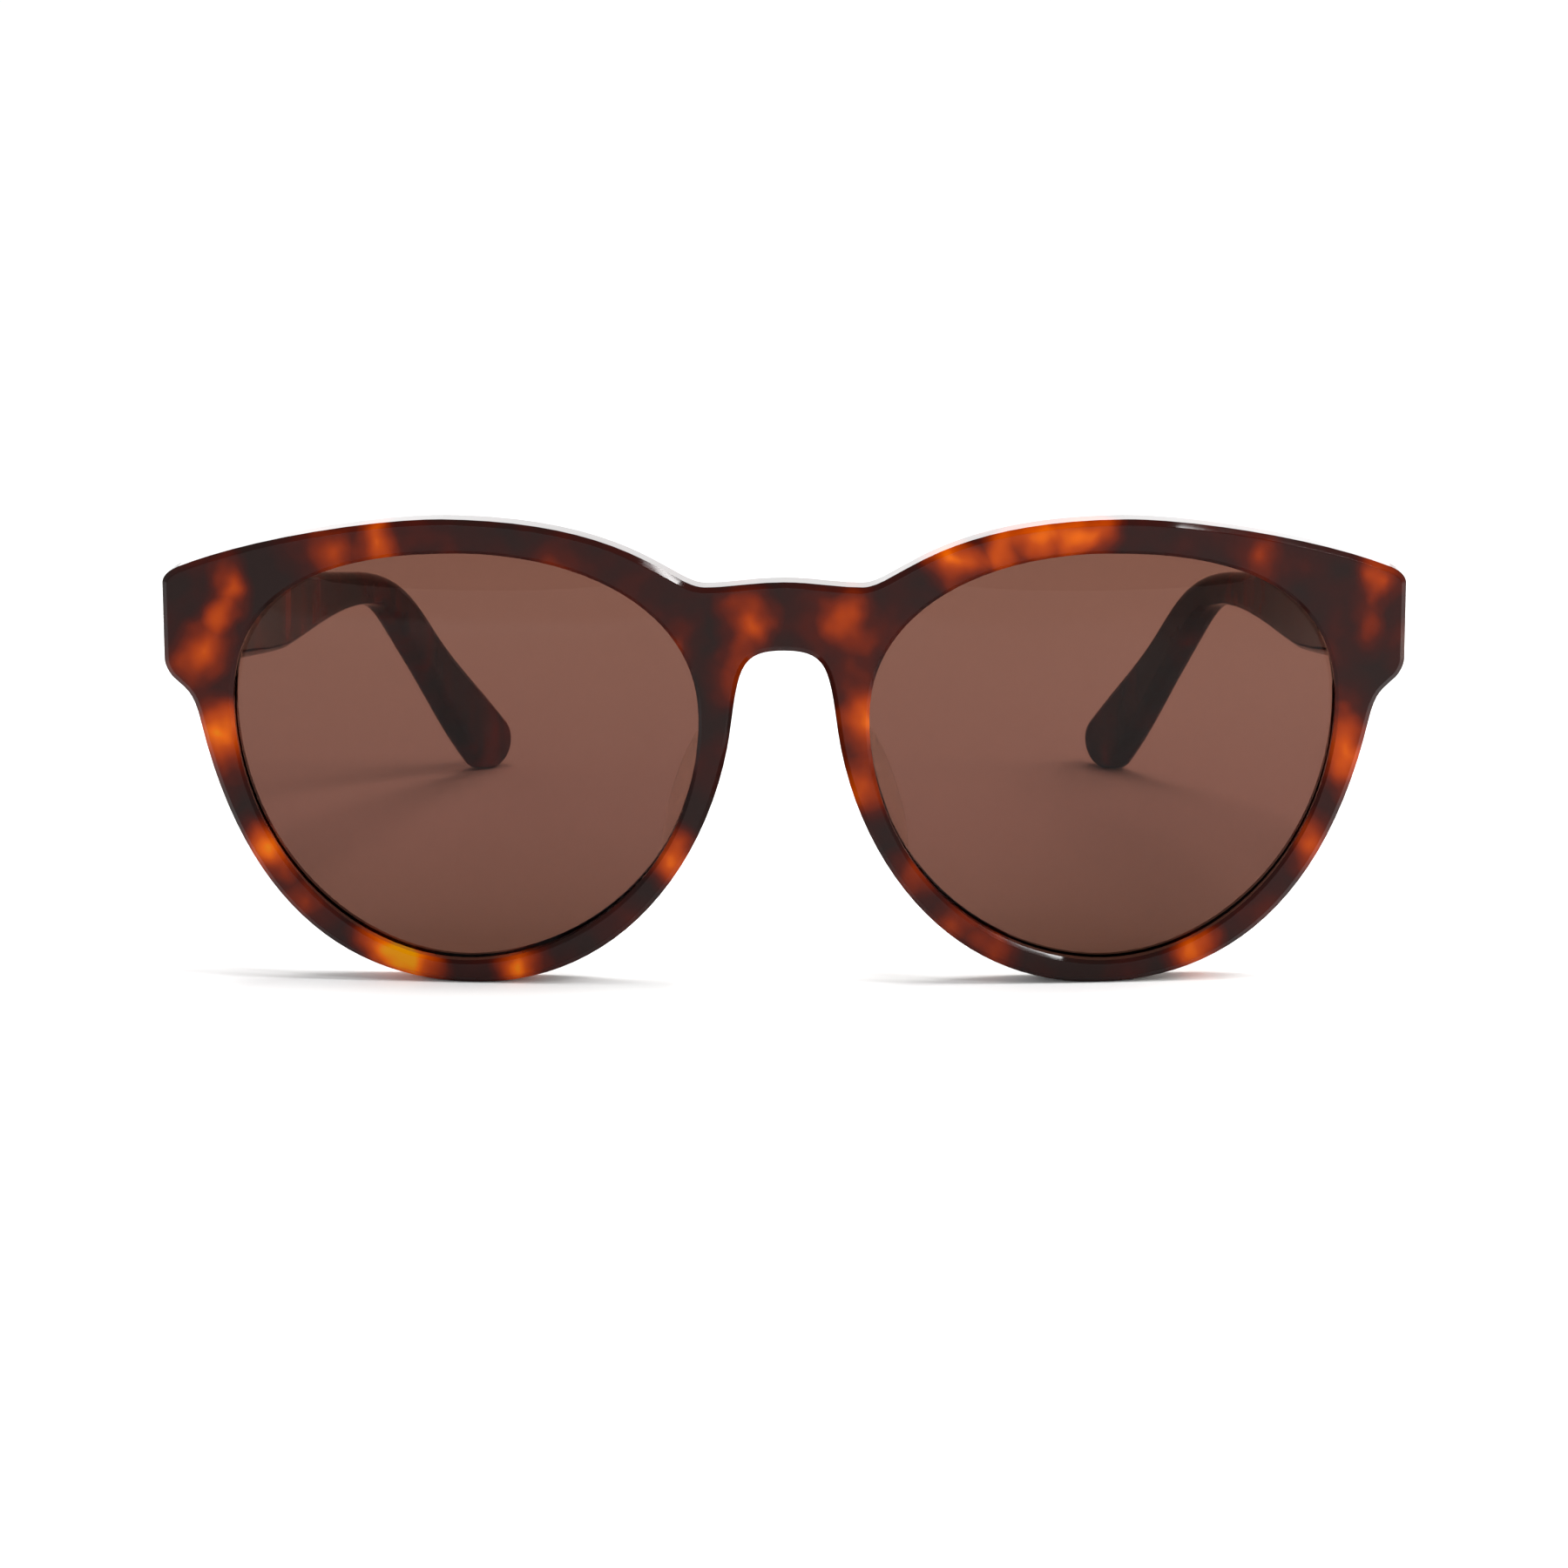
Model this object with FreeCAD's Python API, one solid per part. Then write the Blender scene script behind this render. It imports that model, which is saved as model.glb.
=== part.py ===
import FreeCAD, Part
import math
import os

os.makedirs("parts", exist_ok=True)

# Cat eye sunglasses: an acetate front with two glazed lenses and glued nose pads, and two
# acetate temples on five-barrel hinges. Millimetres. The front looks towards -Y, +X is the
# viewer's right, +Z is up. It stands open on the bottoms of its rims and on its temple tips.

# ---- lens openings and the rims around them ----
lens_w = 53.8            # width of one lens opening
lens_h = 47.6            # height of one lens opening
bridge = 19.6            # gap between the two openings
rim_low = 2.6            # rim below an opening
rim_top = 3.9            # rim above an opening, at the crest
rim_side = 3.95          # rim beside an opening, below the endpiece
rim_nose = 3.65          # rim between an opening and the nose
rim_edge = 0.4           # chamfer round an opening, at the front

# ---- the front as a plate ----
front_t = 5.0            # thickness
wrap_r = 450.0           # radius the front is curved to, about a vertical axis
bridge_drop = 7.0        # bridge's upper edge below the crest of the rims
bridge_h = 7.9           # height of the bridge above its arch
end_reach = 4.1          # how far an endpiece stands out past the rim
end_drop = 6.7           # endpiece's upper corner below the crest
end_h = 11.2             # height of an endpiece
corner_r = 1.2           # rounding of the upper corner
low_corner_r = 1.2       # rounding of the lower corner
front_edge = 0.6         # chamfer along the front's outer edge
back_edge = 0.5          # the same at the back
edge_soft = 0.14         # softening of the front chamfer's two arrises

# ---- lenses ----
lens_r = 265.0           # radius of the lens's front sphere
lens_t = 1.9             # lens thickness
lens_recess = 0.8        # lens vertex behind the face of the front
lens_hold = 0.55         # how far the lens edge goes into its groove
lens_bevel = 0.5         # chamfer on the lens edge
groove_gap = 0.05        # clearance of the groove round the lens

# ---- nose pads: a clear ellipsoid glued behind each rim ----
pad_half = (1.45, 4.5, 9.4)   # half thickness, half reach to the back, half length
pad_drop = 17.4          # pad centre below the arch of the bridge
pad_in = 2.7             # pad centre out from the rim's nose side
pad_back = 1.0           # pad centre behind the back of the front
pad_splay = 22.0         # degrees a pad opens out towards the back
pad_lean = 18.0          # degrees a pad leans out towards its lower end

# ---- temples ----
temple_t = 3.6           # thickness
temple_h = 12.0          # height at the hinge
temple_step = 0.4        # upper edge below the endpiece's upper corner
temple_fall = 8.3        # degrees the upper edge slopes down
temple_bow_r = 246.0     # radius of the inner face, seen from above
ear_bow_r = 170.0        # the same for the part round the ear
temple_toe = 5.55        # degrees the temple flares out at the hinge
bend_at = 101.0          # distance from the hinge end to the ear bend
neck_h = 4.6             # height of the temple just before the bend
drop = 47.5              # degrees below level of the part behind the ear
tip_r = 3.9              # half width of the rounded tip
temple_edge = 1.15       # rounding of the temple's long edges
butt_gap = 0.15          # gap between the temple's end and the front
wire_t = 1.2             # core wire thickness
wire_h = 2.0             # core wire height
wire_stop = 10.0         # acetate left past the wire's end

# ---- hinges ----
barrel_r = 1.5           # outside of the knuckles
screw_r = 0.7            # M1.4 screw
screw_run = 0.03         # radial clearance of the screw in the knuckles
knuckle_h = 1.4          # height of one knuckle
knuckle_gap = 0.1        # gap between neighbours
head_r = 1.2             # screw head
head_h = 0.5
slot_w = 0.3             # screwdriver slot
plate_t = 1.1            # thickness of a hinge leaf
plate_proud = 0.1        # how far a leaf stands out of the acetate
plate_over = 0.8         # front leaf's height past the knuckles, each end
front_leaf_w = 4.3       # width of the leaf in the front
temple_leaf_l = 13.0     # length of the leaf in the temple
temple_leaf_h = 6.4      # its height
leaf_round = 0.8         # rounding of the leaves' corners
hinge_drop = 4.7         # hinge centre below the temple's upper edge
barrel_off = 0.3         # gap between a barrel and the leaf it passes

# ---- sizes that follow ----
x_nose = bridge / 2
x_out = x_nose + lens_w
x_mid = x_nose + 0.507 * lens_w
z_top = rim_low + lens_h
crest = z_top + rim_top
bridge_top = crest - bridge_drop
bridge_low = bridge_top - bridge_h
end_top = crest - end_drop
end_low = end_top - end_h
temple_top = end_top - temple_step
pad_z = bridge_low - pad_drop
x_side = x_out + rim_side
end_x = x_side + end_reach
x_temple = end_x - temple_t - 0.6
x_pivot = x_temple - plate_proud - barrel_off - barrel_r
hinge_z = temple_top - hinge_drop
hinge_half = 2.5 * knuckle_h + 2 * knuckle_gap
far = 400.0
opening_steps = 8        # points that shape each quarter of an opening

UP = FreeCAD.Vector(0, 0, 1)
BACK = FreeCAD.Vector(0, 1, 0)
ACROSS = FreeCAD.Vector(1, 0, 0)
ORIGIN = FreeCAD.Vector(0, 0, 0)


def front_y(x):
    """Depth of the front's face at x."""
    return wrap_r - math.sqrt(wrap_r ** 2 - x ** 2)


def back_y(x):
    """Depth of the front's back at x."""
    return wrap_r - math.sqrt((wrap_r - front_t) ** 2 - x ** 2)


butt_y = back_y(x_temple)
pivot_y = butt_y + barrel_off + barrel_r


def curve(points, plane):
    """One Bezier edge through control points given in a plane: 'xz' or 'yz'."""
    edge = Part.BezierCurve()
    if plane == "xz":
        edge.setPoles([FreeCAD.Vector(a, 0, b) for a, b in points])
    else:
        edge.setPoles([FreeCAD.Vector(0, a, b) for a, b in points])
    return edge.toShape()


def box(x0, x1, y0, y1, z0, z1):
    return Part.makeBox(x1 - x0, y1 - y0, z1 - z0, FreeCAD.Vector(x0, y0, z0))


def post(r, x, y, z0, z1):
    """A vertical cylinder."""
    return Part.makeCylinder(r, z1 - z0, FreeCAD.Vector(x, y, z0), UP)


def mirrored(shape):
    """The same piece for the other side of the face."""
    return shape.mirror(ORIGIN, ACROSS)


def step(start, direction, length):
    """A point a given length from start along a slope (1, slope) or a direction."""
    size = math.hypot(direction[0], direction[1])
    return (start[0] + direction[0] / size * length, start[1] + direction[1] / size * length)


# ---- front ----
def opening_curves():
    """One lens opening, right side: four curves between its four extremes."""
    w = lens_w
    h = lens_h
    top = (x_mid, z_top)
    out = (x_out, rim_low + 0.632 * h)
    low = (x_mid, rim_low)
    nose = (x_nose, rim_low + 0.61 * h)
    return [
        [top, (top[0] + 0.326 * w, top[1]), (out[0], out[1] + 0.242 * h), out],
        [out, (out[0], out[1] - 0.370 * h), (low[0] + 0.246 * w, low[1]), low],
        [low, (low[0] - 0.224 * w, low[1]), (nose[0], nose[1] - 0.408 * h), nose],
        [nose, (nose[0], nose[1] + 0.232 * h), (top[0] - 0.298 * w, top[1]), top],
    ]


def opening_wire(grow=0.0):
    """A closed smooth curve round one opening, moved outwards by a margin."""
    through = []
    for points in opening_curves():
        edge = curve(points, "xz")
        span = edge.LastParameter - edge.FirstParameter
        for i in range(opening_steps):
            at = edge.FirstParameter + span * i / opening_steps
            ahead = edge.tangentAt(at)
            outward = FreeCAD.Vector(-ahead.z, 0, ahead.x)
            through.append(edge.valueAt(at) + outward * grow)
    loop = Part.BSplineCurve()
    loop.interpolate(Points=through, PeriodicFlag=True)
    return Part.Wire([loop.toShape()])


def half_outline():
    """The front's outline, right side, from the top of the bridge round to its arch."""
    w = lens_w
    h = lens_h
    peak = (x_mid + 1.9, crest)
    saddle = (0.46 * bridge, bridge_top - 0.6)
    above = (end_x - 1.9, end_top + 0.74)
    corner = (end_x, end_top - corner_r)
    hook = (end_x, end_low + low_corner_r)
    heel = (end_x - 1.0, end_low - 1.0)
    side = (x_side, rim_low + 0.577 * h)
    low = (x_mid - 0.9, 0.0)
    nose = (x_nose - rim_nose, rim_low + 0.577 * h)
    arch = (0.0, bridge_low)
    return [
        [(0.0, bridge_top), (0.18 * bridge, bridge_top), (0.30 * bridge, saddle[1]), saddle],
        [saddle, (saddle[0] + 4.0, saddle[1]), (peak[0] - 0.406 * w, peak[1]), peak],
        [peak, (peak[0] + 0.12 * w, peak[1]), step(above, (-1, 0.40), 0.192 * w), above],
        [above, step(above, (1, -0.40), 1.3), (end_x, corner[1] + 0.62 * corner_r), corner],
        [corner, hook],
        [hook, (end_x, hook[1] - 0.7 * low_corner_r), step(heel, (1, 0.9), 0.5), heel],
        [heel, step(heel, (-1, -0.9), 2.2), step(side, (0.22, 1), 0.075 * h), side],
        [side, step(side, (-0.22, -1), 0.379 * h), (low[0] + 0.333 * w, low[1]), low],
        [low, (low[0] - 0.345 * w, low[1]), step(nose, (0.135, -1), 0.287 * h), nose],
        [nose, step(nose, (-0.135, 1), 0.148 * h), (arch[0] + 0.257 * bridge, arch[1]), arch],
    ]


def outline_face():
    right = [curve(points, "xz") for points in half_outline()]
    left = [mirrored(edge) for edge in right]
    wire = Part.Wire(Part.__sortEdges__(right + left))
    return Part.Face(wire)


def curved_slab():
    """The wrapped plate the front is cut from."""
    outer = post(wrap_r, 0, wrap_r, -5, 70)
    inner = post(wrap_r - front_t, 0, wrap_r, -5, 70)
    return outer.cut(inner)


def edges_on(shape, r):
    """Edges of a shape that lie on one of the plate's two curved faces."""
    found = []
    for edge in shape.Edges:
        points = edge.discretize(5)
        if all(abs(math.hypot(p.x, p.y - wrap_r) - r) < 0.01 for p in points):
            found.append(edge)
    return found


def opening_prism(grow=0.0):
    """A prism through one opening, its outline grown by a margin."""
    return Part.Face(opening_wire(grow)).extrude(BACK * 40)


# ---- lens ----
def lens_solid(edge, gap):
    """A curved lens blank: edge is how far it passes the opening, gap its clearance all round."""
    tilt = math.asin(x_mid / wrap_r)
    vertex_x = x_mid - lens_recess * math.sin(tilt)
    vertex_y = front_y(x_mid) + lens_recess * math.cos(tilt)
    middle = FreeCAD.Vector(vertex_x - lens_r * math.sin(tilt),
                            vertex_y + lens_r * math.cos(tilt),
                            rim_low + lens_h / 2)
    outer = Part.makeSphere(lens_r + gap, middle)
    inner = Part.makeSphere(lens_r - lens_t - gap, middle)
    prism = opening_prism(edge + gap)
    lens = prism.common(outer).cut(inner)
    rims = []
    for face in lens.Faces:
        if face.Surface.TypeId == "Part::GeomSphere":
            rims.extend(face.Edges)
    return lens.makeChamfer(lens_bevel, rims)


# ---- front ----
def make_front():
    """The front: wrapped plate, edge chamfers, openings, lens grooves and flat ends."""
    blank = outline_face().extrude(BACK * 40).common(curved_slab())
    blank = blank.makeChamfer(front_edge, edges_on(blank, wrap_r))
    blank = blank.makeFillet(back_edge, edges_on(blank, wrap_r - front_t))
    blank = blank.makeFillet(edge_soft, edges_on(blank, wrap_r))
    opening = opening_prism()
    before = [edge.CenterOfMass for edge in edges_on(blank, wrap_r)]
    blank = blank.cut(opening).cut(mirrored(opening))
    fresh = [edge for edge in edges_on(blank, wrap_r)
             if min(edge.CenterOfMass.distanceToPoint(point) for point in before) > 0.1]
    blank = blank.makeChamfer(rim_edge, fresh)
    fresh = [edge for edge in edges_on(blank, wrap_r - front_t) if on_opening(edge)]
    blank = blank.makeFillet(rim_edge, fresh)
    blank = blank.cut(box(-far, far, butt_y, far, -5, 70))
    groove = lens_solid(lens_hold, groove_gap)
    leaf = front_leaf()
    return blank.cut(groove).cut(mirrored(groove)).cut(leaf).cut(mirrored(leaf))


def on_opening(edge):
    """Whether an edge runs round a lens opening."""
    point = edge.valueAt((edge.FirstParameter + edge.LastParameter) / 2)
    flat = Part.Vertex(FreeCAD.Vector(abs(point.x), 0, point.z))
    return flat.distToShape(opening_wire())[0] < 0.05


# ---- nose pads ----
def make_pad():
    """A clear pad behind the right rim, flat where it meets the back of the front."""
    pad = Part.makeSphere(1.0)
    scale = FreeCAD.Matrix()
    scale.scale(FreeCAD.Vector(*pad_half))
    pad = pad.transformGeometry(scale)
    pad.rotate(ORIGIN, UP, -pad_splay)
    pad.rotate(ORIGIN, BACK, -pad_lean)
    edge_x = nose_x(pad_z)
    pad.translate(FreeCAD.Vector(edge_x + pad_in, back_y(edge_x) + pad_back, pad_z))
    return pad.common(post(wrap_r - front_t, 0, wrap_r, -5, 70))


def nose_x(z):
    """Half width of the nose gap at a height."""
    level = Part.makeLine(FreeCAD.Vector(0, 0, z), FreeCAD.Vector(x_mid, 0, z))
    side = Part.Wire([curve(points, "xz") for points in half_outline()[8:10]])
    return level.distToShape(side)[1][0][0].x


# ---- hinge ----
def knuckle_levels(first):
    """Bottom and top of every second knuckle, starting with the first or the second."""
    levels = []
    for i in range(first, 5, 2):
        low = hinge_z - hinge_half + i * (knuckle_h + knuckle_gap)
        levels.append((low, low + knuckle_h))
    return levels


def front_leaf():
    """The leaf sunk in the back of the front, without its knuckles."""
    half = hinge_half + plate_over
    leaf = box(x_pivot - front_leaf_w + barrel_r, x_pivot + barrel_r,
               butt_y - plate_t, butt_y, hinge_z - half, hinge_z + half)
    upright = [edge for edge in leaf.Edges if along(edge, BACK)]
    return leaf.makeFillet(leaf_round, upright)


def along(edge, direction):
    """Whether a straight edge runs along a direction."""
    return edge.tangentAt(edge.FirstParameter).cross(direction).Length < 0.01


def barrels(levels, x0, x1, y0, y1):
    """Knuckles round the pivot, each with a web that fills a box beside it."""
    parts = []
    for low, high in levels:
        web = box(x0, x1, y0, y1, low, high)
        parts.append(post(barrel_r, x_pivot, pivot_y, low, high).fuse(web))
    return parts


def screw_bore():
    return post(screw_r + screw_run, x_pivot, pivot_y, hinge_z - 20, hinge_z + 20)


def make_hinge_front():
    """The leaf in the front with three knuckles."""
    reach = barrel_r - 0.15
    knuckles = barrels(knuckle_levels(0), x_pivot - reach, x_pivot + reach,
                       butt_y - plate_t / 2, pivot_y)
    return front_leaf().multiFuse(knuckles).cut(screw_bore()).removeSplitter()


def temple_leaf():
    """The leaf sunk in the temple's inner face, without its knuckles. It follows the slope."""
    half = temple_leaf_h / 2
    start = pivot_y - barrel_r + 0.1
    block = box(x_temple - 2, x_temple + 5, start, start + temple_leaf_l,
                hinge_z - half, hinge_z + half)
    sideways = [edge for edge in block.Edges if along(edge, ACROSS)]
    block = block.makeFillet(leaf_round, sideways)
    block.rotate(FreeCAD.Vector(x_temple, pivot_y, hinge_z), ACROSS, -temple_fall)
    return block.common(temple_band(-plate_proud, plate_t - plate_proud))


def make_hinge_temple():
    """The leaf in the temple with two knuckles between the front's three."""
    reach = barrel_r - 0.15
    knuckles = barrels(knuckle_levels(1), x_pivot, x_temple + plate_t / 2,
                       pivot_y - reach, pivot_y + reach)
    return temple_leaf().multiFuse(knuckles).cut(screw_bore()).removeSplitter()


def make_screw():
    """A slotted screw down through the knuckles, its head on the top one."""
    top = hinge_z + hinge_half
    shank = post(screw_r, x_pivot, pivot_y, hinge_z - hinge_half - 0.2, top + head_h / 2)
    head = post(head_r, x_pivot, pivot_y, top, top + head_h)
    slot = box(x_pivot - far, x_pivot + far, pivot_y - slot_w / 2, pivot_y + slot_w / 2,
               top + head_h / 2, far)
    return shank.fuse(head).cut(slot).removeSplitter()


# ---- temples ----
def temple_band(inner, outer):
    """The temple's curved wall seen from above, between two offsets from its inner face."""
    start = -math.radians(temple_toe) - 5 / temple_bow_r
    turn = -math.radians(temple_toe) + 0.70 * bend_at / temple_bow_r
    toe = math.radians(temple_toe)
    first = (x_temple - temple_bow_r * math.cos(toe), butt_y + temple_bow_r * math.sin(toe))
    second = polar(first, temple_bow_r - ear_bow_r, turn)
    end = turn + 0.9 * bend_at / ear_bow_r
    walls = []
    for offset in (inner, outer):
        walls.append([polar(first, temple_bow_r + offset, start),
                      polar(first, temple_bow_r + offset, (start + turn) / 2),
                      polar(first, temple_bow_r + offset, turn),
                      polar(second, ear_bow_r + offset, (turn + end) / 2),
                      polar(second, ear_bow_r + offset, end)])
    inside, outside = [[FreeCAD.Vector(x, y, -5) for x, y in wall] for wall in walls]
    edges = [Part.Arc(*inside[:3]).toShape(), Part.Arc(*inside[2:]).toShape(),
             Part.makeLine(inside[4], outside[4]), Part.Arc(*outside[2:]).toShape(),
             Part.Arc(*outside[:3]).toShape(), Part.makeLine(outside[0], inside[0])]
    return Part.Face(Part.Wire(Part.__sortEdges__(edges))).extrude(UP * 75)


def polar(middle, radius, angle):
    return (middle[0] + radius * math.cos(angle), middle[1] + radius * math.sin(angle))


def ear_line():
    """Centre line of the part behind the ear: where it starts, and the tip's centre."""
    fall = math.tan(math.radians(temple_fall))
    start = (bend_at, temple_top - bend_at * fall - neck_h / 2)
    slant = math.radians(drop)
    length = (start[1] - tip_r) / math.sin(slant)
    end = (start[0] + length * math.cos(slant), tip_r)
    return start, end


def temple_face():
    """Side view of a temple, with the hinge end at y = 0."""
    fall = math.tan(math.radians(temple_fall))
    slant = math.radians(drop)
    go = (math.cos(slant), -math.sin(slant))
    off = (math.sin(slant), math.cos(slant))
    start, end = ear_line()
    down = (1, -fall)
    top = (0, temple_top)
    brow = (0.9 * bend_at, temple_top - 0.9 * bend_at * fall)
    rear = step(step(start, go, 0.37 * bend_at * 0.32), off, neck_h * 0.6)
    wide = step(end, off, tip_r)
    tip = step(end, go, tip_r)
    under = step(end, off, -tip_r)
    fore = step(step(start, go, 0.37 * bend_at * 0.32), off, -neck_h * 0.6)
    neck = (0.95 * bend_at, temple_top - 0.95 * bend_at * fall - neck_h)
    waist = (0.62 * bend_at, temple_top - 0.62 * bend_at * fall - 0.84 * temple_h)
    low = (0, temple_top - temple_h)
    edges = [
        Part.makeLine(FreeCAD.Vector(0, *top), FreeCAD.Vector(0, *brow)),
        curve([brow, step(brow, down, 11), step(rear, go, -8), rear], "yz"),
        curve([rear, step(rear, go, 9), step(wide, go, -9), wide], "yz"),
        Part.Arc(FreeCAD.Vector(0, *wide), FreeCAD.Vector(0, *tip),
                 FreeCAD.Vector(0, *under)).toShape(),
        curve([under, step(under, go, -9), step(fore, go, 9), fore], "yz"),
        curve([fore, step(fore, go, -7), step(neck, (1, -0.22), 4), neck], "yz"),
        curve([neck, step(neck, (-1, 0.22), 9), step(waist, (1, 0.0), 12), waist], "yz"),
        curve([waist, step(waist, (-1, 0.0), 5), step(low, (1, -0.12), 30), low], "yz"),
        Part.makeLine(FreeCAD.Vector(0, *low), FreeCAD.Vector(0, *top)),
    ]
    return Part.Face(Part.Wire(edges))


def make_temple():
    """The acetate of the right temple, with its hinge recess and its core wire's channel."""
    profile = temple_face()
    profile.translate(FreeCAD.Vector(0, butt_y + butt_gap, 0))
    blank = profile.extrude(ACROSS * far).common(temple_band(0, temple_t))
    blank = blank.makeFillet(temple_edge, long_edges(blank))
    return blank.cut(make_hinge_temple()).cut(make_wire())


def long_edges(shape):
    """The edges that run along the temple, round its tip and back."""
    start = butt_y + butt_gap + 0.01
    return [edge for edge in shape.Edges
            if edge.Length > 4.5 and max(v.Y for v in edge.Vertexes) > start
            and not along(edge, ACROSS)]


def make_wire():
    """The core wire, from the hinge end almost to the tip, down the middle of the acetate."""
    fall = math.tan(math.radians(temple_fall))
    start, end = ear_line()
    slant = math.radians(drop)
    first = (0, temple_top - temple_h / 2)
    second = (0.62 * bend_at, temple_top - 0.62 * bend_at * fall - 0.36 * temple_h)
    last = step(end, (-math.cos(slant), math.sin(slant)), wire_stop - tip_r)
    path = [first, second, start, last]
    upper = []
    lower = []
    for i, point in enumerate(path):
        before = path[max(i - 1, 0)]
        after = path[min(i + 1, len(path) - 1)]
        across = (before[1] - after[1], after[0] - before[0])
        upper.append(step(point, across, wire_h / 2))
        lower.append(step(point, across, -wire_h / 2))
    loop = [FreeCAD.Vector(0, *point) for point in upper + lower[::-1]]
    strip = Part.Face(Part.makePolygon(loop + loop[:1]))
    strip.translate(FreeCAD.Vector(0, butt_y + butt_gap, 0))
    middle = temple_t / 2
    wall = temple_band(middle - wire_t / 2, middle + wire_t / 2)
    beyond = box(0, far, butt_y + butt_gap, far, -5, 70)
    return strip.extrude(ACROSS * far).common(wall).common(beyond)


# ---- all the pieces ----
def build():
    right = {
        "lens": lens_solid(lens_hold, 0),
        "nose_pad": make_pad(),
        "hinge_front": make_hinge_front(),
        "hinge_temple": make_hinge_temple(),
        "hinge_screw": make_screw(),
        "temple": make_temple(),
        "core_wire": make_wire(),
    }
    pieces = {"front_frame": make_front()}
    for name, shape in right.items():
        pieces[name + "_right"] = shape
        pieces[name + "_left"] = mirrored(shape)
    return pieces


pieces = build()
depth = Part.makeCompound(list(pieces.values())).optimalBoundingBox()
shift_y = -(depth.YMin + depth.YMax) / 2
for node, shape in pieces.items():
    shape.translate(FreeCAD.Vector(0, shift_y, 0))
    shape.exportStep("parts/" + node + ".step")
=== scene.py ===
import math

import bpy
from mathutils import Matrix, Vector


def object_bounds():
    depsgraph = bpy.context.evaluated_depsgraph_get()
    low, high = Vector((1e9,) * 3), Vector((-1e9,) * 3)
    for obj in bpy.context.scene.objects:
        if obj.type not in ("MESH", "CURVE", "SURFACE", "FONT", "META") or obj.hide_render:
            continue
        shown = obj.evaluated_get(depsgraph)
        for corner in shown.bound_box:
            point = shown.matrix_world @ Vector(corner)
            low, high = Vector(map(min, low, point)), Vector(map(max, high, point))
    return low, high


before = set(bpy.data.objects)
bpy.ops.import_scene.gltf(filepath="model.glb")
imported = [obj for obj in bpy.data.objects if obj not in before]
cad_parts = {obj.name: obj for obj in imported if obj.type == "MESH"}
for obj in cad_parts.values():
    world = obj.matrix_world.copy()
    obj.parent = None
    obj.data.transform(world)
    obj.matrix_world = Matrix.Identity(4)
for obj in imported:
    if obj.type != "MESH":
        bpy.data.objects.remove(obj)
cad_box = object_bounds()

MM = 0.001
FRONT_Y = cad_box[0][1]              # the front of the wrapped plate, at the bridge
MIDDLE = (0.0, -0.06, 0.03)          # where the lights aim
WHITE = (1.0, 1.0, 1.0)
WARM = (1.0, 0.93, 0.78)
FLOOR_SIZE = 24.0

# The camera, in millimetres and degrees
CAMERA_BACK = 500
CAMERA_UP = 121
CAMERA_ASIDE = 7.5
CAMERA_TILT = 11
CAMERA_LENS = 101.9
SENSOR = 36.0

# The acetate clouds, in millimetres
BLUR = 1.9                           # added to each cloud's half width and half height
DRIFT = 4.5                          # how far the clouds' edges wander
CLOUD_GAIN = 1.3                     # clearness at the middle of a cloud of amount 1


def srgb(r, g, b):
    """A linear colour from three screen values of 0 to 255."""
    def linear(v):
        v /= 255
        return v / 12.92 if v <= 0.04045 else ((v + 0.055) / 1.055) ** 2.4
    return (linear(r), linear(g), linear(b), 1.0)


# ---- node trees ----
class Graph:
    """A material's node tree, written as nested calls."""

    def __init__(self, name):
        self.material = bpy.data.materials.new(name)
        self.material.use_nodes = True
        self.tree = self.material.node_tree
        self.shader = self.tree.nodes["Principled BSDF"]

    def add(self, kind, inputs=(), out=0, **settings):
        node = self.tree.nodes.new("ShaderNode" + kind)
        for key, value in settings.items():
            setattr(node, key, value)
        for key, value in dict(inputs).items():
            self.put(node.inputs[key], value)
        return node.outputs[out]

    def put(self, socket, value):
        if isinstance(value, bpy.types.NodeSocket):
            self.tree.links.new(value, socket)
        else:
            socket.default_value = value

    def math(self, operation, *values):
        return self.add("Math", enumerate(values), operation=operation)

    def set(self, **values):
        for key, value in values.items():
            self.put(self.shader.inputs[key.replace("_", " ")], value)

    def object_mm(self):
        """Position in the piece's own frame, in millimetres."""
        where = self.add("TexCoord", out="Object")
        return self.add("VectorMath", {0: where, "Scale": 1000.0}, operation="SCALE")

    def noise(self, vector, scale, detail=2.0, rough=0.5, out="Fac"):
        return self.add("TexNoise", {"Vector": vector, "Scale": scale, "Detail": detail,
                                     "Roughness": rough}, out=out)

    def ramp(self, value, stops):
        colour = self.add("ValToRGB", {"Fac": value})
        band = colour.node.color_ramp
        while len(band.elements) < len(stops):
            band.elements.new(1.0)
        for element, (place, tint) in zip(band.elements, stops):
            element.position = place
            element.color = tint
        return colour

    def bump(self, height, strength, distance):
        return self.add("Bump", {"Height": height, "Strength": strength, "Distance": distance})


ACETATE = [
    (0.00, srgb(32, 18, 16)),
    (0.14, srgb(44, 15, 12)),
    (0.28, srgb(64, 16, 7)),
    (0.42, srgb(102, 28, 3)),
    (0.56, srgb(140, 45, 1)),
    (0.70, srgb(170, 62, 0)),
    (0.84, srgb(208, 91, 0)),
    (1.00, srgb(206, 132, 0)),
]
YELLOW = 1.75                        # clearness that reaches the last colour


def polish(graph, where):
    """The shine of polished acetate, with the slight waviness of hand buffing."""
    wave = graph.noise(where, 0.12, 2.0)
    graph.set(Roughness=graph.add("MapRange", {"Value": wave, "From Min": 0.3, "From Max": 0.7,
                                               "To Min": 0.03, "To Max": 0.07}),
              Normal=graph.bump(wave, 0.03, 0.0003))
    graph.shader.inputs["Specular IOR Level"].default_value = 0.1


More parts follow.
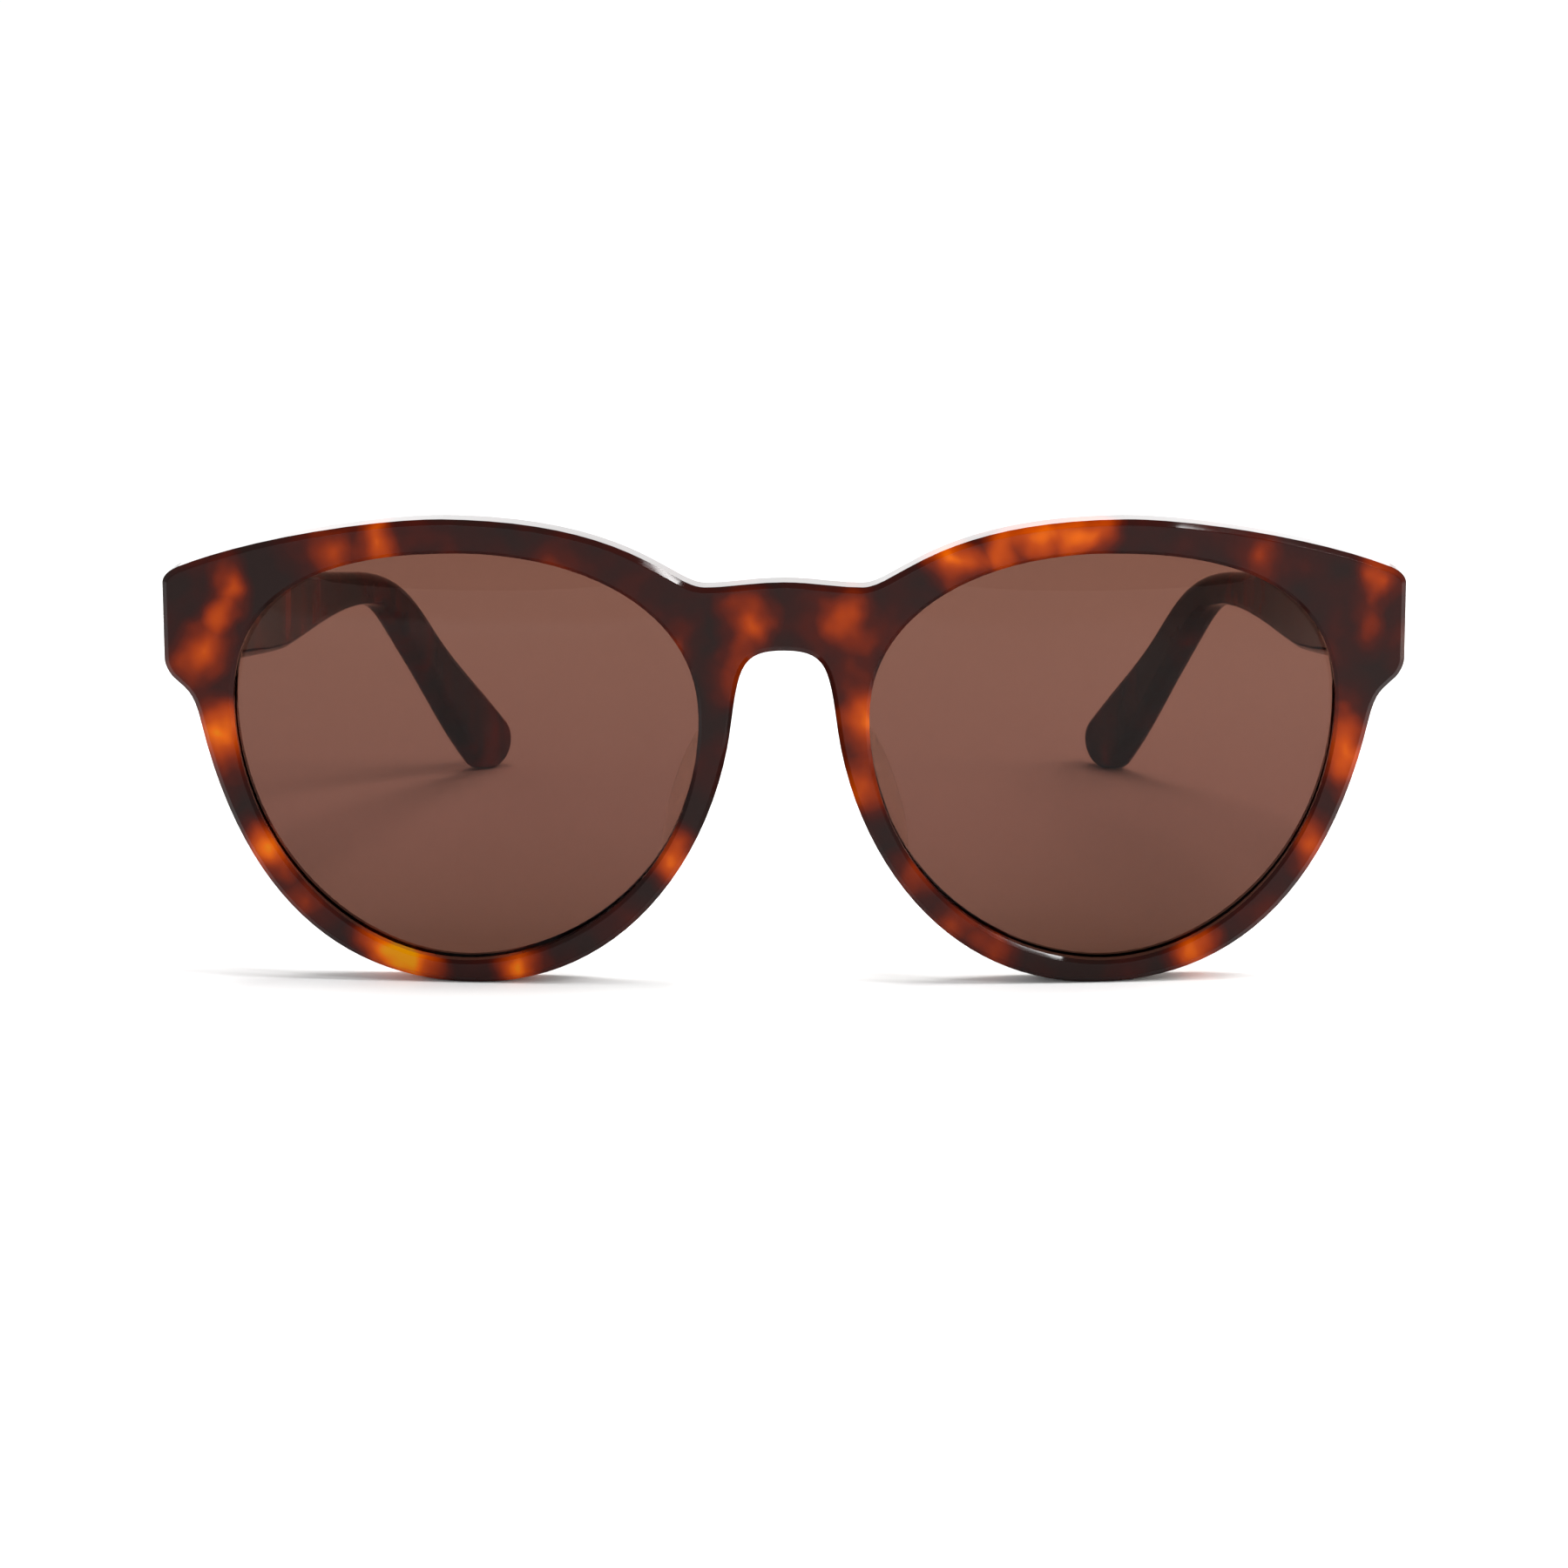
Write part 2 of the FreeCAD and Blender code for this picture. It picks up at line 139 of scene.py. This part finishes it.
def tortoise_front():
    """Dark brown acetate with soft amber clouds, each a blurred ellipse in the XZ plane:
    (x, z, half width, half height, lean in degrees, clearness), in millimetres."""
    clouds = [
        (-63.5, 46.1, 1.5, 4.2, 6, 0.9), (-66.8, 38.8, 1.8, 5.0, 38, 0.95),
        (-65.2, 28.4, 2.2, 4.2, -18, 1.15), (-59.9, 15.8, 2.0, 3.6, -36, 1.2),
        (-55.1, 9.5, 2.4, 3.2, -40, 0.55), (-45.0, 2.8, 2.0, 5.6, -66, 1.65),
        (-30.7, 1.8, 2.4, 2.6, 30, 1.05), (-13.0, 14.9, 2.0, 2.8, 36, 1.1),
        (-4.2, 42.4, 2.2, 4.2, 14, 0.95), (-46.4, 50.8, 1.5, 3.6, 0, 0.75),
        (-51.6, 50.0, 1.6, 2.6, 0, 0.42), (-25.4, 48.8, 3.2, 1.8, 0, 0.34),
        (-11.6, 40.5, 1.6, 2.6, 0, 0.36), (-6.3, 36.5, 1.6, 2.6, 0, 0.4),
        (7.9, 43.6, 1.9, 3.2, -10, 0.62), (8.6, 32.4, 1.9, 7.0, 0, 0.55),
        (9.0, 31.2, 1.2, 2.6, 0, 0.35), (9.0, 23.4, 1.8, 2.4, -12, 0.65),
        (19.1, 49.5, 1.9, 2.2, -20, 1.15), (26.4, 52.0, 3.6, 1.8, -14, 0.8),
        (31.0, 52.5, 2.6, 1.8, 0, 0.85), (35.0, 52.2, 2.2, 2.4, 0, 0.85),
        (23.6, 49.8, 1.8, 1.5, 0, 0.4), (53.9, 49.6, 2.4, 2.6, 10, 0.42),
        (69.0, 46.8, 1.6, 2.0, 0, 0.65), (67.3, 44.6, 0.6, 4.4, 0, 0.35),
        (67.3, 40.8, 0.6, 2.0, 0, 0.35), (64.6, 26.7, 1.8, 4.0, -10, 0.85),
        (64.7, 31.0, 1.6, 2.4, 0, 0.35), (60.7, 16.1, 1.8, 2.8, 30, 0.6),
        (47.5, 3.3, 2.2, 2.4, 40, 1.15), (24.2, 3.5, 2.4, 2.0, -30, 0.7),
        (19.4, 7.2, 2.2, 2.4, -40, 0.45), (14.4, 13.2, 1.9, 2.4, -38, 0.55),
    ]
    graph = Graph("tortoise_front")
    where = graph.object_mm()
    drift = graph.noise(where, 0.16, 2.0, 0.5, out="Color")
    drift = graph.add("VectorMath", {0: drift, 1: (-0.5, -0.5, -0.5)}, operation="ADD")
    warped = graph.add("VectorMath", {0: drift, 1: (DRIFT, DRIFT, DRIFT), 2: where},
                       operation="MULTIPLY_ADD")
    clear = graph.math("MULTIPLY_ADD", graph.noise(where, 0.14, 2.0, 0.5), 1.4, -0.5)
    for x, z, wide, tall, lean, amount in clouds:
        local = graph.add("Mapping", {"Vector": warped, "Location": (x, 0, z),
                                      "Rotation": (0, math.radians(lean), 0),
                                      "Scale": (wide + BLUR, 1000.0, tall + BLUR)},
                          vector_type="TEXTURE")
        blob = graph.add("TexGradient", {"Vector": local}, out="Fac",
                         gradient_type="SPHERICAL")
        clear = graph.math("MULTIPLY_ADD", blob, CLOUD_GAIN * amount, clear)
    graph.set(Base_Color=graph.ramp(graph.math("DIVIDE", clear, YELLOW), ACETATE))
    polish(graph, where)
    return graph.material


def tortoise_temple():
    """The same acetate cut so that its clouds cross the temple as uneven bands."""
    graph = Graph("tortoise_temple")
    where = graph.object_mm()
    stretched = graph.add("VectorMath", {0: where, 1: (0.6, 1.0, 0.28)}, operation="MULTIPLY")
    broad = graph.noise(stretched, 0.10, 3.0, 0.6)
    fine = graph.noise(stretched, 0.32, 2.0, 0.5)
    clear = graph.math("MULTIPLY_ADD", broad, 3.4, -1.85)
    clear = graph.math("MULTIPLY_ADD", fine, 0.9, clear)
    graph.set(Base_Color=graph.ramp(graph.math("DIVIDE", clear, YELLOW), ACETATE))
    polish(graph, where)
    return graph.material


def brown_lens():
    """Solid brown tint, polished, seen through from both sides. Its colour is painted darker
    towards the bottom of the lens, a painted shade for the frame's shadow on the floor behind
    it.
    """
    graph = Graph("brown_lens")
    where = graph.object_mm()
    height = graph.add("SeparateXYZ", {"Vector": where}, out="Z")
    # painted shade: the tint darkens towards the lens's bottom, where the floor seen through
    # it lies in the frame's shadow
    fade = graph.add("MapRange", {"Value": height, "From Min": 2.0, "From Max": 46.0})
    fade = graph.math("MULTIPLY_ADD", graph.noise(where, 0.05, 1.0), 0.1, fade)
    tint = graph.ramp(fade, [(0.0, srgb(82, 52, 40)), (0.45, srgb(98, 63, 53)),
                             (1.0, srgb(108, 72, 60))])
    graph.set(Base_Color=tint, Roughness=0.0, IOR=1.2, Transmission_Weight=1.0)
    return graph.material


def clear_acetate():
    graph = Graph("clear_acetate")
    where = graph.object_mm()
    cloud = graph.noise(where, 0.3, 2.0)
    tint = graph.ramp(cloud, [(0.2, srgb(250, 246, 240)), (0.8, srgb(244, 238, 228))])
    graph.set(Base_Color=tint, Roughness=0.0, IOR=1.15, Transmission_Weight=1.0,
              Normal=graph.bump(cloud, 0.05, 0.0003))
    return graph.material


def metal(name, colour, rough, grain):
    """Metal with fine lines along its length and a little tarnish."""
    graph = Graph(name)
    where = graph.object_mm()
    lines = graph.add("VectorMath", {0: where, 1: grain}, operation="MULTIPLY")
    brushed = graph.noise(lines, 3.0, 3.0)
    stain = graph.noise(where, 0.6, 3.0)
    dark = tuple(0.72 * channel for channel in colour[:3]) + (1.0,)
    graph.set(Base_Color=graph.ramp(stain, [(0.3, dark), (0.6, colour)]), Metallic=1.0,
              Roughness=graph.add("MapRange", {"Value": brushed, "To Min": rough - 0.08,
                                               "To Max": rough + 0.12}),
              Normal=graph.bump(brushed, 0.15, 0.00005))
    return graph.material


def dress_nodes():
    """Gives each CAD piece its material."""
    looks = {
        "front_frame": tortoise_front(),
        "temple": tortoise_temple(),
        "lens": brown_lens(),
        "nose_pad": clear_acetate(),
        "hinge": metal("hinge_metal", srgb(190, 184, 172), 0.32, (4.0, 4.0, 0.5)),
        "hinge_screw": metal("screw_metal", srgb(205, 203, 198), 0.22, (3.0, 3.0, 3.0)),
        "core_wire": metal("wire_metal", srgb(180, 176, 168), 0.3, (4.0, 0.4, 4.0)),
    }
    for name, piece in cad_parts.items():
        match = max((key for key in looks if name.startswith(key)), key=len)
        for slot in piece.material_slots:
            slot.material = looks[match]


# ---- floor, light and camera ----
def plain(name, colour, rough):
    graph = Graph(name)
    where = graph.object_mm()
    cloud = graph.noise(where, 0.004, 2.0)
    near = tuple(0.985 * channel for channel in colour[:3]) + (1.0,)
    graph.set(Base_Color=graph.ramp(cloud, [(0.3, near), (0.7, colour)]), Roughness=rough)
    graph.shader.inputs["Specular IOR Level"].default_value = 0.0
    return graph.material


def add_floor():
    bpy.ops.mesh.primitive_plane_add(size=FLOOR_SIZE, location=(0, 0, 0))
    floor = bpy.context.object
    floor.name = "floor"
    floor.data.materials.append(plain("floor_white", (0.92, 0.92, 0.92, 1.0), 0.9))


def add_world():
    """White studio: bright low down behind the object, dim overhead and in front of it."""
    world = bpy.data.worlds.new("studio")
    bpy.context.scene.world = world
    world.use_nodes = True
    tree = world.node_tree
    where = tree.nodes.new("ShaderNodeTexCoord")
    axes = tree.nodes.new("ShaderNodeSeparateXYZ")
    tree.links.new(where.outputs["Generated"], axes.inputs[0])

    def fade(axis, start, end, low, high):
        node = tree.nodes.new("ShaderNodeMapRange")
        for name, value in zip(("From Min", "From Max", "To Min", "To Max"),
                               (start, end, low, high)):
            node.inputs[name].default_value = value
        tree.links.new(axes.outputs[axis], node.inputs["Value"])
        return node.outputs[0]

    def product(one, other):
        node = tree.nodes.new("ShaderNodeMath")
        node.operation = "MULTIPLY"
        tree.links.new(one, node.inputs[0])
        tree.links.new(other, node.inputs[1])
        return node.outputs[0]

    level = product(fade("Y", -0.35, 0.35, 0.34, 0.6), fade("Z", 0.75, 0.95, 1.0, 0.3))
    glow = product(fade("Y", 0.6, 0.8, 0.0, 1.5), fade("Z", 0.35, 0.55, 1.0, 0.0))
    total = tree.nodes.new("ShaderNodeMath")
    tree.links.new(level, total.inputs[0])
    tree.links.new(glow, total.inputs[1])
    studio = tree.nodes["Background"]
    studio.inputs["Color"].default_value = (1, 1, 1, 1)
    tree.links.new(total.outputs[0], studio.inputs["Strength"])


def add_sun(toward, strength, angle):
    """A soft overhead light, equally strong over the whole floor."""
    data = bpy.data.lights.new("overhead", "SUN")
    data.energy = strength
    data.angle = math.radians(angle)
    lamp = bpy.data.objects.new("overhead", data)
    bpy.context.collection.objects.link(lamp)
    lamp.rotation_euler = Vector(toward).to_track_quat("Z", "Y").to_euler()


def area_lamp(name, width, height, watts, colour):
    data = bpy.data.lights.new(name, "AREA")
    data.shape = "RECTANGLE"
    data.size = width
    data.size_y = height
    data.energy = watts
    data.color = colour
    lamp = bpy.data.objects.new(name, data)
    bpy.context.collection.objects.link(lamp)
    return lamp


def add_softbox(name, place, aim, width, height, watts):
    lamp = area_lamp(name, width, height, watts, WHITE)
    lamp.location = place
    lamp.rotation_euler = (Vector(aim) - Vector(place)).to_track_quat("-Z", "Y").to_euler()


def add_strip(name, start, end, width, watts, colour=WHITE):
    """A thin softbox between two points, turned to face the object."""
    start = Vector(start)
    end = Vector(end)
    centre = (start + end) / 2
    back = (centre - Vector(MIDDLE)).normalized()
    along = end - start
    lamp = area_lamp(name, width, along.length, watts, colour)
    along = (along - back * along.dot(back)).normalized()
    lamp.location = centre
    lamp.rotation_euler = Matrix((along.cross(back), along, back)).transposed().to_euler()


def add_camera():
    """A long lens a little above the object, level side to side and looking straight back."""
    data = bpy.data.cameras.new("camera")
    data.sensor_width = SENSOR
    data.lens = CAMERA_LENS
    data.clip_start = 0.01
    data.clip_end = 100
    tilt = math.radians(CAMERA_TILT)
    camera = bpy.data.objects.new("camera", data)
    bpy.context.collection.objects.link(camera)
    camera.location = (CAMERA_ASIDE * MM, FRONT_Y - CAMERA_BACK * MM, CAMERA_UP * MM)
    camera.rotation_euler = (math.radians(90) - tilt, 0, 0)
    data.shift_x = -CAMERA_ASIDE / CAMERA_BACK * math.cos(tilt) * CAMERA_LENS / SENSOR
    bpy.context.scene.camera = camera


dress_nodes()
add_floor()
add_world()
add_sun((0.0, 0.22, 1.0), 2.2, 28)
add_softbox("key_front", (-0.3, -1.15, 0.36), MIDDLE, 0.7, 0.4, 3.0)
add_strip("edge_top", (0.31, -0.14, 0.91), (0.63, -0.01, 0.75), 0.02, 2.6)
add_strip("edge_middle", (0.36, -0.23, 0.84), (0.70, -0.15, 0.60), 0.02, 2.6)
add_strip("edge_low", (0.42, -0.39, 0.71), (0.60, -0.435, 0.51), 0.02, 1.6)
add_strip("end_right", (0.31, 0.055, 0.0), (0.31, 0.055, 0.10), 0.05, 0.35, WARM)
add_camera()
bpy.context.scene.view_settings.view_transform = "Standard"
